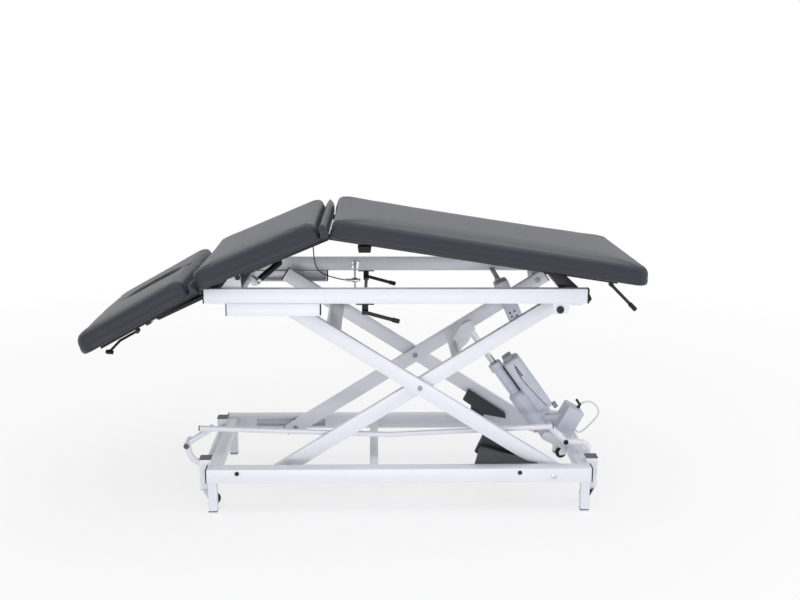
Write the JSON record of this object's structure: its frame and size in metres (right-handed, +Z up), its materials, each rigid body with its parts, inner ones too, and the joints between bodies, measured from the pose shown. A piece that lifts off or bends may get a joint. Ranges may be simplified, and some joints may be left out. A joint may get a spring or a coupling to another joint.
{
  "type": "treatment table",
  "caption": "Electric scissor-lift treatment table with a hinged head section, a raised middle and a long upholstered section on a white tube frame.",
  "frame": {"origin": "on the floor, under the middle of the table's length and width as it stands", "axes": "+X from the head end to the foot end, +Y from the near side (with the foot rail) to the far side, +Z up"},
  "size_m": [1.901, 0.7, 1.023],
  "materials": {
    "white_paint": "satin white powder coat",
    "black_paint": "satin black paint",
    "steel": "bright zinc or ground steel",
    "grey_plastic": "light grey moulded plastic",
    "dark_plastic": "dark grey moulded plastic",
    "black_rubber": "black cable sheath",
    "black_vinyl": "dark grey imitation leather over foam"
  },
  "bodies": {
    "base": {"base_tube_near": "white_paint", "base_tube_far": "white_paint", "base_end_left": "white_paint", "base_end_right": "white_paint", "base_cross_middle": "white_paint", "base_guard_near": "dark_plastic", "base_guard_far": "dark_plastic", "motor_clevis": "white_paint"},
    "castor_near_left": {"castor_fork_near_left": "steel"},
    "castor_far_left": {"castor_fork_far_left": "steel"},
    "castor_near_right": {"castor_fork_near_right": "steel"},
    "castor_far_right": {"castor_fork_far_right": "steel"},
    "wheel_near_left": {"castor_wheel_near_left": "dark_plastic"},
    "wheel_far_left": {"castor_wheel_far_left": "dark_plastic"},
    "wheel_near_right": {"castor_wheel_near_right": "dark_plastic"},
    "wheel_far_right": {"castor_wheel_far_right": "dark_plastic"},
    "left_pedal": {"pedal_left": "white_paint"},
    "right_pedal": {"pedal_right": "white_paint"},
    "foot_bar": {"foot_rail": "white_paint"},
    "outer_arms": {"outer_arm_near": "white_paint", "outer_arm_far": "white_paint", "outer_cross_tube": "white_paint", "arm_guard_near": "dark_plastic", "arm_guard_far": "dark_plastic"},
    "upper_wheel_near": {"upper_roller_near": "dark_plastic"},
    "upper_wheel_far": {"upper_roller_far": "dark_plastic"},
    "inner_arms": {"inner_arm_near": "white_paint", "inner_arm_far": "white_paint", "inner_cross_tube": "white_paint"},
    "lower_wheel_near": {"lower_roller_near": "dark_plastic"},
    "lower_wheel_far": {"lower_roller_far": "dark_plastic"},
    "motor_unit": {"motor_housing": "grey_plastic", "actuator_tube": "grey_plastic", "power_box": "grey_plastic", "motor_cable": "grey_plastic"},
    "lift_rod": {"actuator_rod": "steel"},
    "top_frame": {"top_tube_near": "white_paint", "top_tube_far": "white_paint", "roller_rail_near": "white_paint", "roller_rail_far": "white_paint", "top_cross_left": "white_paint", "top_cross_right": "white_paint", "control_box": "grey_plastic", "cable_stop": "steel", "lever_bracket_near": "black_paint", "lever_bracket_far": "black_paint", "release_cable": "black_rubber"},
    "release_handle": {"release_lever": "black_paint"},
    "pivot_cylinder": {"pivot_gas_cylinder": "black_paint"},
    "pivot_rod": {"pivot_gas_rod": "steel"},
    "mid_section": {"mid_cushion": "black_vinyl", "mid_frame": "black_paint"},
    "long_section": {"long_cushion": "black_vinyl", "long_frame": "black_paint"},
    "end_handle": {"end_lever": "black_paint"},
    "head_section": {"head_cushion": "black_vinyl", "head_frame": "black_paint"},
    "head_handle": {"head_lever": "black_paint"},
    "head_cylinder": {"head_gas_cylinder": "black_paint"},
    "head_rod": {"head_gas_rod": "steel"}
  },
  "joints": [
    {"name": "lift", "type": "hinge", "parent": "base", "child": "outer_arms", "pos_m": [0.657, 0, 0.138], "axis": [0, 1, 0], "range_deg": [-18, 8]},
    {"name": "scissor_centre", "type": "hinge", "parent": "outer_arms", "child": "inner_arms", "pos_m": [0.19722, 0, 0.42875], "axis": [0, 1, 0], "range_deg": [-16.5, 36.5]},
    {"name": "table_level", "type": "hinge", "parent": "inner_arms", "child": "top_frame", "pos_m": [0.657, 0, 0.7195], "axis": [0, 1, 0], "range_deg": [-18.5, 8.5]},
    {"name": "upper_roller_near_spin", "type": "hinge", "parent": "outer_arms", "child": "upper_wheel_near", "pos_m": [-0.26257, -0.291, 0.7195], "axis": [0, 1, 0], "continuous": true},
    {"name": "upper_roller_far_spin", "type": "hinge", "parent": "outer_arms", "child": "upper_wheel_far", "pos_m": [-0.26257, 0.291, 0.7195], "axis": [0, 1, 0], "continuous": true},
    {"name": "lower_roller_near_spin", "type": "hinge", "parent": "inner_arms", "child": "lower_wheel_near", "pos_m": [-0.26257, -0.278, 0.138], "axis": [0, 1, 0], "continuous": true},
    {"name": "lower_roller_far_spin", "type": "hinge", "parent": "inner_arms", "child": "lower_wheel_far", "pos_m": [-0.26257, 0.278, 0.138], "axis": [0, 1, 0], "continuous": true},
    {"name": "motor_swing", "type": "hinge", "parent": "base", "child": "motor_unit", "pos_m": [0.672, 0, 0.1785], "axis": [0, 1, 0], "range_deg": [-21.5, 10]},
    {"name": "rod_extend", "type": "slide", "parent": "motor_unit", "child": "lift_rod", "axis": [-0.5834, 0, 0.8122], "range_m": [-0.137, 0.062]},
    {"name": "pivot", "type": "hinge", "parent": "top_frame", "child": "mid_section", "pos_m": [-0.408, 0, 0.825], "axis": [0, 1, 0], "range_deg": [0, 23], "deforming": ["release_cable"]},
    {"name": "long_fold", "type": "hinge", "parent": "mid_section", "child": "long_section", "pos_m": [-0.115, 0, 0.9525], "axis": [0, 1, 0], "range_deg": [-32.5, 0.5]},
    {"name": "pivot_cylinder_swing", "type": "hinge", "parent": "top_frame", "child": "pivot_cylinder", "pos_m": [-0.3815, 0, 0.749], "axis": [0, 1, 0], "range_deg": [-0.5, 21]},
    {"name": "pivot_rod_slide", "type": "slide", "parent": "pivot_cylinder", "child": "pivot_rod", "axis": [0.7646, 0, 0.6445], "range_m": [-0.034, 0.001]},
    {"name": "head_tilt", "type": "hinge", "parent": "mid_section", "child": "head_section", "pos_m": [-0.53162, 0, 0.77566], "axis": [0, 1, 0], "range_deg": [-25, 30]},
    {"name": "head_cylinder_swing", "type": "hinge", "parent": "mid_section", "child": "head_cylinder", "pos_m": [-0.48073, -0.11, 0.75815], "axis": [0, 1, 0], "range_deg": [-22.5, 27]},
    {"name": "head_rod_slide", "type": "slide", "parent": "head_cylinder", "child": "head_rod", "axis": [-0.9032, 0, -0.4292], "range_m": [-0.017, 0.02]},
    {"name": "release", "type": "hinge", "parent": "top_frame", "child": "release_handle", "pos_m": [0.0105, 0, 0.712], "axis": [0, 1, 0], "range_deg": [-15, 0], "stiffness_Nm_per_rad": 2, "springref_deg": 17.19},
    {"name": "head_release", "type": "hinge", "parent": "head_section", "child": "head_handle", "pos_m": [-0.75464, -0.2374, 0.63163], "axis": [0, 1, 0], "range_deg": [-12, 0], "stiffness_Nm_per_rad": 0.5, "springref_deg": 17.19},
    {"name": "end_release", "type": "hinge", "parent": "long_section", "child": "end_handle", "pos_m": [0.8393, -0.2374, 0.78943], "axis": [0, 1, 0], "range_deg": [-15, 0], "stiffness_Nm_per_rad": 0.5, "springref_deg": 17.19},
    {"name": "left_pedal_press", "type": "hinge", "parent": "base", "child": "left_pedal", "pos_m": [-0.5433, 0, 0.138], "axis": [0, 1, 0], "range_deg": [-6, 6], "stiffness_Nm_per_rad": 40},
    {"name": "right_pedal_press", "type": "hinge", "parent": "base", "child": "right_pedal", "pos_m": [0.7993, 0, 0.138], "axis": [0, 1, 0], "range_deg": [-6.2, 6.2], "stiffness_Nm_per_rad": 40},
    {"name": "foot_rail_link", "type": "hinge", "parent": "left_pedal", "child": "foot_bar", "pos_m": [-0.523, -0.182, 0.265], "axis": [0, 1, 0], "range_deg": [-7.5, 7.5]},
    {"name": "castor_near_left_swivel", "type": "hinge", "parent": "base", "child": "castor_near_left", "pos_m": [-0.544, -0.223, 0.064], "axis": [0, 0, 1], "continuous": true},
    {"name": "castor_far_left_swivel", "type": "hinge", "parent": "base", "child": "castor_far_left", "pos_m": [-0.544, 0.223, 0.064], "axis": [0, 0, 1], "continuous": true},
    {"name": "castor_near_right_swivel", "type": "hinge", "parent": "base", "child": "castor_near_right", "pos_m": [0.8, -0.223, 0.064], "axis": [0, 0, 1], "continuous": true},
    {"name": "castor_far_right_swivel", "type": "hinge", "parent": "base", "child": "castor_far_right", "pos_m": [0.8, 0.223, 0.064], "axis": [0, 0, 1], "continuous": true},
    {"name": "wheel_near_left_spin", "type": "hinge", "parent": "castor_near_left", "child": "wheel_near_left", "pos_m": [-0.518, -0.223, 0.0245], "axis": [0, 1, 0], "continuous": true},
    {"name": "wheel_far_left_spin", "type": "hinge", "parent": "castor_far_left", "child": "wheel_far_left", "pos_m": [-0.57, 0.223, 0.0245], "axis": [0, -1, 0], "continuous": true},
    {"name": "wheel_near_right_spin", "type": "hinge", "parent": "castor_near_right", "child": "wheel_near_right", "pos_m": [0.787, -0.20048, 0.0245], "axis": [0.866, 0.5, 0], "continuous": true},
    {"name": "wheel_far_right_spin", "type": "hinge", "parent": "castor_far_right", "child": "wheel_far_right", "pos_m": [0.774, 0.223, 0.0245], "axis": [0, 1, 0], "continuous": true}
  ],
  "couplings": [
    {"joint": "scissor_centre", "follows": "lift", "ratio": -2},
    {"joint": "table_level", "follows": "lift", "ratio": 1},
    {"joint": "motor_swing", "follows": "lift", "ratio": 1.15},
    {"joint": "rod_extend", "follows": "lift", "m_per_rad": 0.43},
    {"joint": "long_fold", "follows": "pivot", "ratio": -1.3804},
    {"joint": "pivot_cylinder_swing", "follows": "pivot", "ratio": 0.89},
    {"joint": "pivot_rod_slide", "follows": "pivot", "m_per_rad": -0.08},
    {"joint": "head_cylinder_swing", "follows": "head_tilt", "ratio": 0.87},
    {"joint": "head_rod_slide", "follows": "head_tilt", "m_per_rad": 0.035},
    {"joint": "right_pedal_press", "follows": "left_pedal_press", "ratio": 0.9695},
    {"joint": "foot_rail_link", "follows": "left_pedal_press", "ratio": -1.1376}
  ]
}
